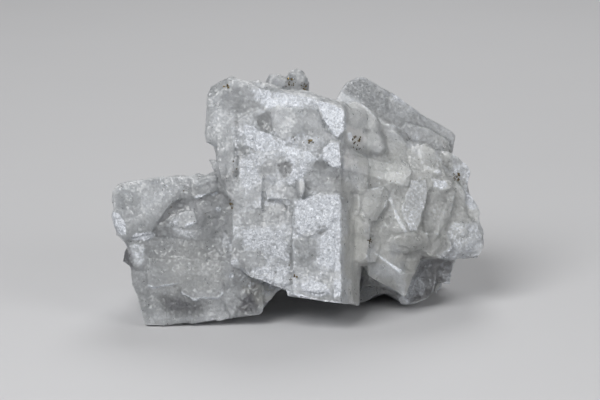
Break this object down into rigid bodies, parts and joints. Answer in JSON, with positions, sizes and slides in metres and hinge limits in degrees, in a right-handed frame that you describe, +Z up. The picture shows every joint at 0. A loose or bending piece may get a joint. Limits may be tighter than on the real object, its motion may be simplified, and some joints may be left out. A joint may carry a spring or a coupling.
{
  "type": "barite with pyrite specimen",
  "caption": "Cabinet mineral specimen of thick, milky barite tablets and blades with small embedded pyrite grains, resting on its level broken underside.",
  "frame": {"origin": "middle of the object's box in X and Y, on the level underside", "axes": "+X to the right along the two big tablets' front faces, +Y back into the cluster, +Z up"},
  "size_m": [0.0938, 0.0682, 0.0622],
  "materials": {
    "barite": "milky, frosted cleavage faces",
    "pyrite": "small dull brassy crystals"
  },
  "bodies": {
    "root": {"barite_cluster": "barite", "pyrite_mound_pocket": "pyrite", "pyrite_corner_row": "pyrite", "pyrite_knob_left": "pyrite", "pyrite_knob_right": "pyrite", "pyrite_centre_face": "pyrite", "pyrite_junction": "pyrite", "pyrite_groove": "pyrite", "pyrite_top_left": "pyrite", "pyrite_side": "pyrite"}
  },
  "joints": []
}
